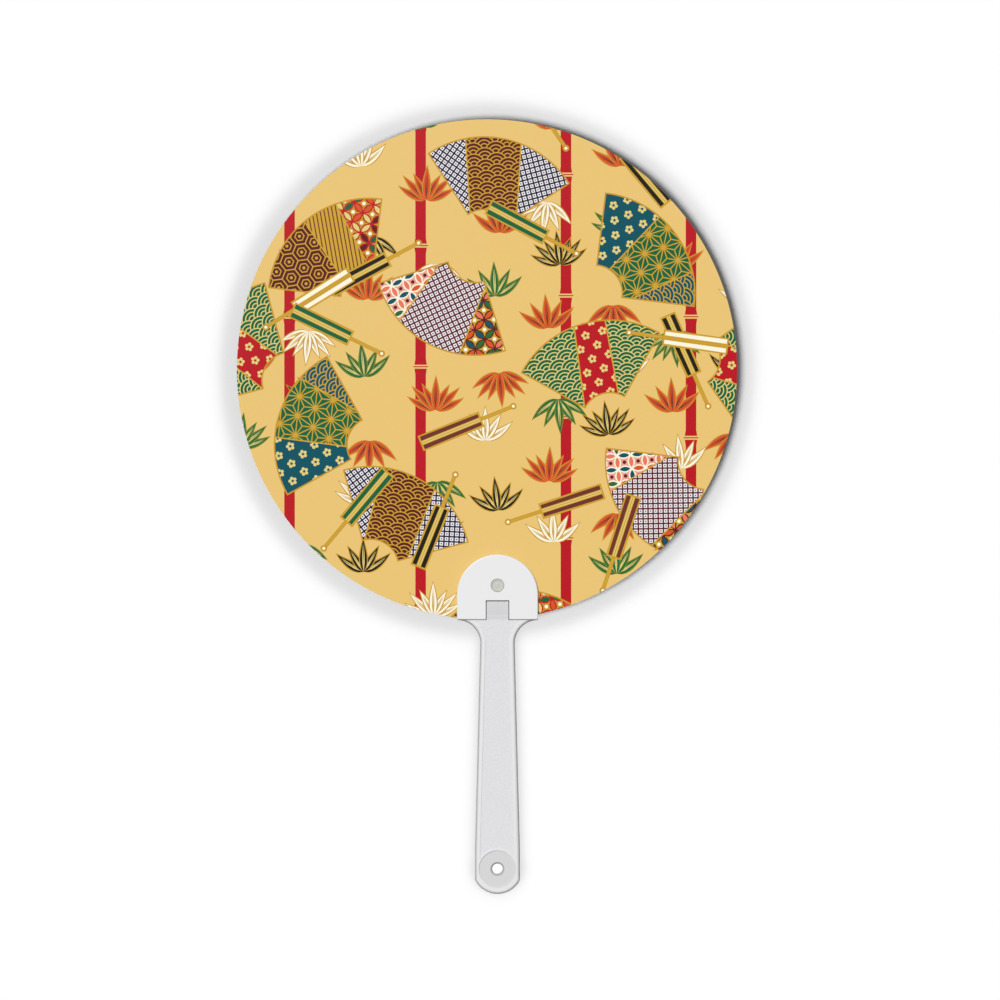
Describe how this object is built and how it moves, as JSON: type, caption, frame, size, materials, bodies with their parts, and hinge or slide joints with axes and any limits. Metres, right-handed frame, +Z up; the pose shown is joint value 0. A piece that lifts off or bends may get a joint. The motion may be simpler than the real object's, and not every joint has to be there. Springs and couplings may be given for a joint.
{
  "type": "round hand fan",
  "caption": "Flat round hand fan: a stiff printed plastic disc snapped between the dome-shaped leaves of a slim moulded handle with a hang eye.",
  "frame": {"origin": "middle of the grip, where a hand holds the fan, halfway through the handle's thickness", "axes": "+Z up along the handle towards the blade, +X to the right as one looks at the printed face, -Y out of the printed face"},
  "size_m": [0.19, 0.0038, 0.2942],
  "materials": {
    "handle_plastic": "frosted white polypropylene with smooth rims",
    "clasp_plastic": "smooth satin white polypropylene",
    "pin_plastic": "smooth uncoloured plastic",
    "sheet_plastic": "smooth white sheet with a sheared edge",
    "print_film": "satin laminated print in gold, crimson, teal and green"
  },
  "bodies": {
    "root": {"handle": "handle_plastic", "clasp_plate": "clasp_plastic", "snap_pin": "pin_plastic", "blade_sheet": "sheet_plastic", "front_print": "print_film", "back_print": "print_film"}
  },
  "joints": []
}
